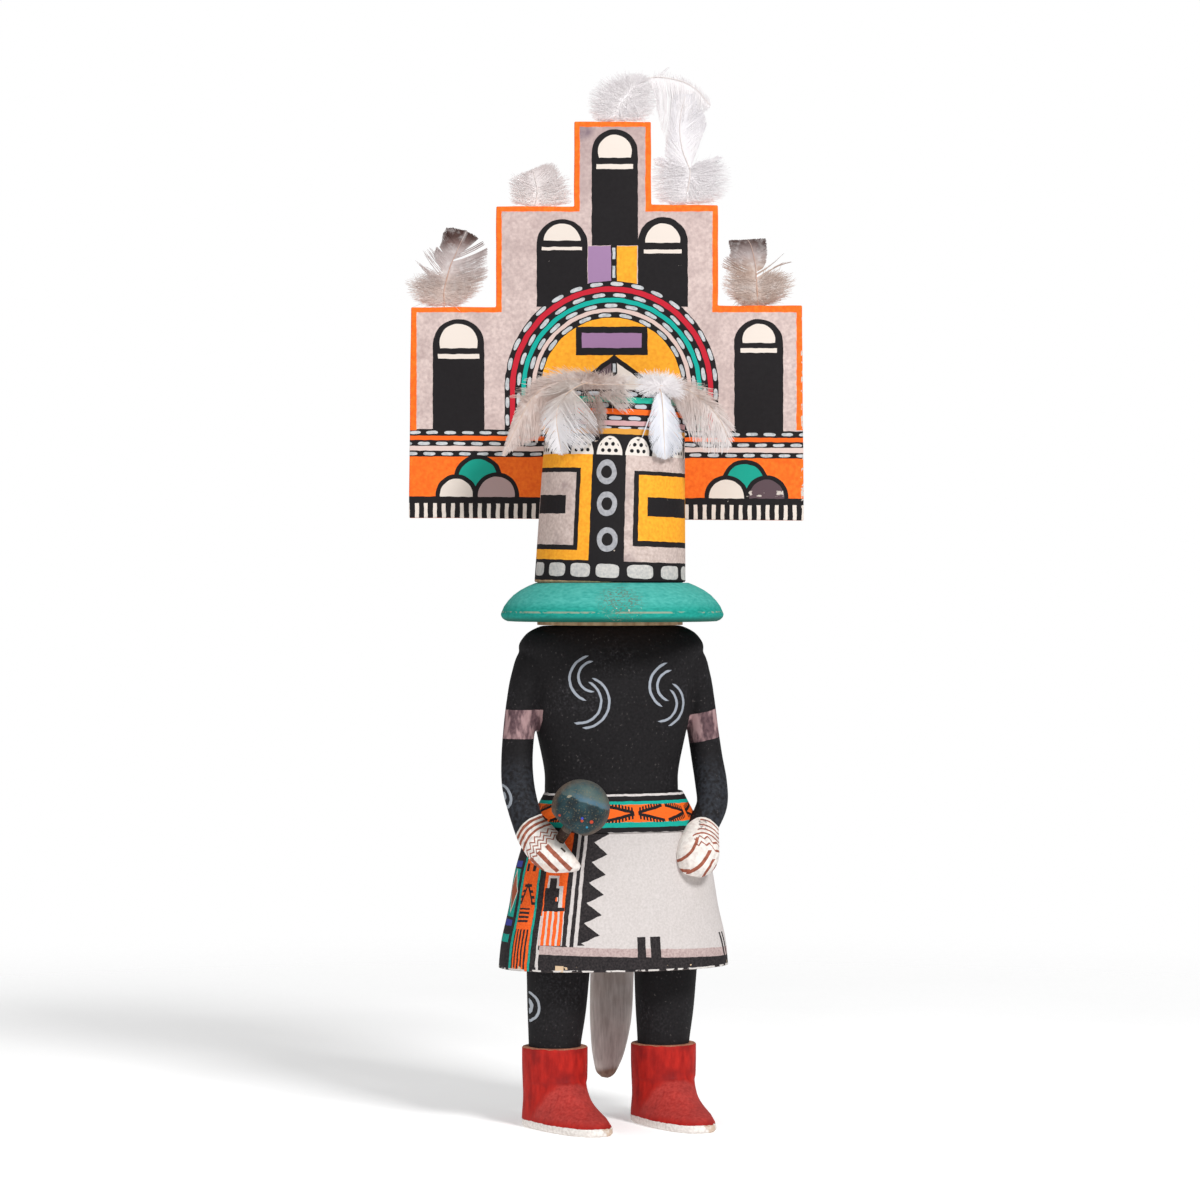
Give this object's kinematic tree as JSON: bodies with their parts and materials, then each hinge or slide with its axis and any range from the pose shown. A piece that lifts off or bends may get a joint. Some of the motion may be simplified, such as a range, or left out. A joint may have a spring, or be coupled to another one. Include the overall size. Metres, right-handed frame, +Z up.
{
  "type": "kachina doll",
  "caption": "Standing carved and painted wooden doll with a cylinder mask, wide ruff, stepped board behind the head, feathers, kilt, boots and a hand rattle.",
  "frame": {"origin": "on the ground under the soles, at the middle of the doll's box seen from above", "axes": "+Z up along the doll's height, -Y the way the mask faces, +X to the right as seen from the front"},
  "size_m": [0.1624, 0.093, 0.428],
  "materials": {
    "figure_paint": "matt earth and poster paint over carved wood: black body, white and patterned kilt, red boots",
    "mask_paint": "matt painted bands, panels and rings on a mauve-grey wash over wood",
    "ruff_paint": "matt teal paint, brushed and rubbed at the edge",
    "board_paint": "matt painted pattern on a thin mauve-grey wash over a flat board, orange at its edges",
    "rattle_paint": "dull dark teal paint over brown, speckled",
    "pelt_wood": "thin taupe-grey wash over grained wood, brown at the tip",
    "feather": "soft white, grey and brown feathers and down"
  },
  "bodies": {
    "root": {"figure": "figure_paint", "mask": "mask_paint", "ruff": "ruff_paint", "tablita": "board_paint", "rattle": "rattle_paint", "fox_pelt": "pelt_wood", "feather_step_3_left": "feather", "feather_step_2_left": "feather", "feather_top": "feather", "feather_step_2_right": "feather", "feather_step_3_right": "feather", "feather_head_front_left": "feather", "feather_head_left": "feather", "feather_head_down": "feather", "feather_head_front_right": "feather", "feather_head_right": "feather"}
  },
  "joints": []
}
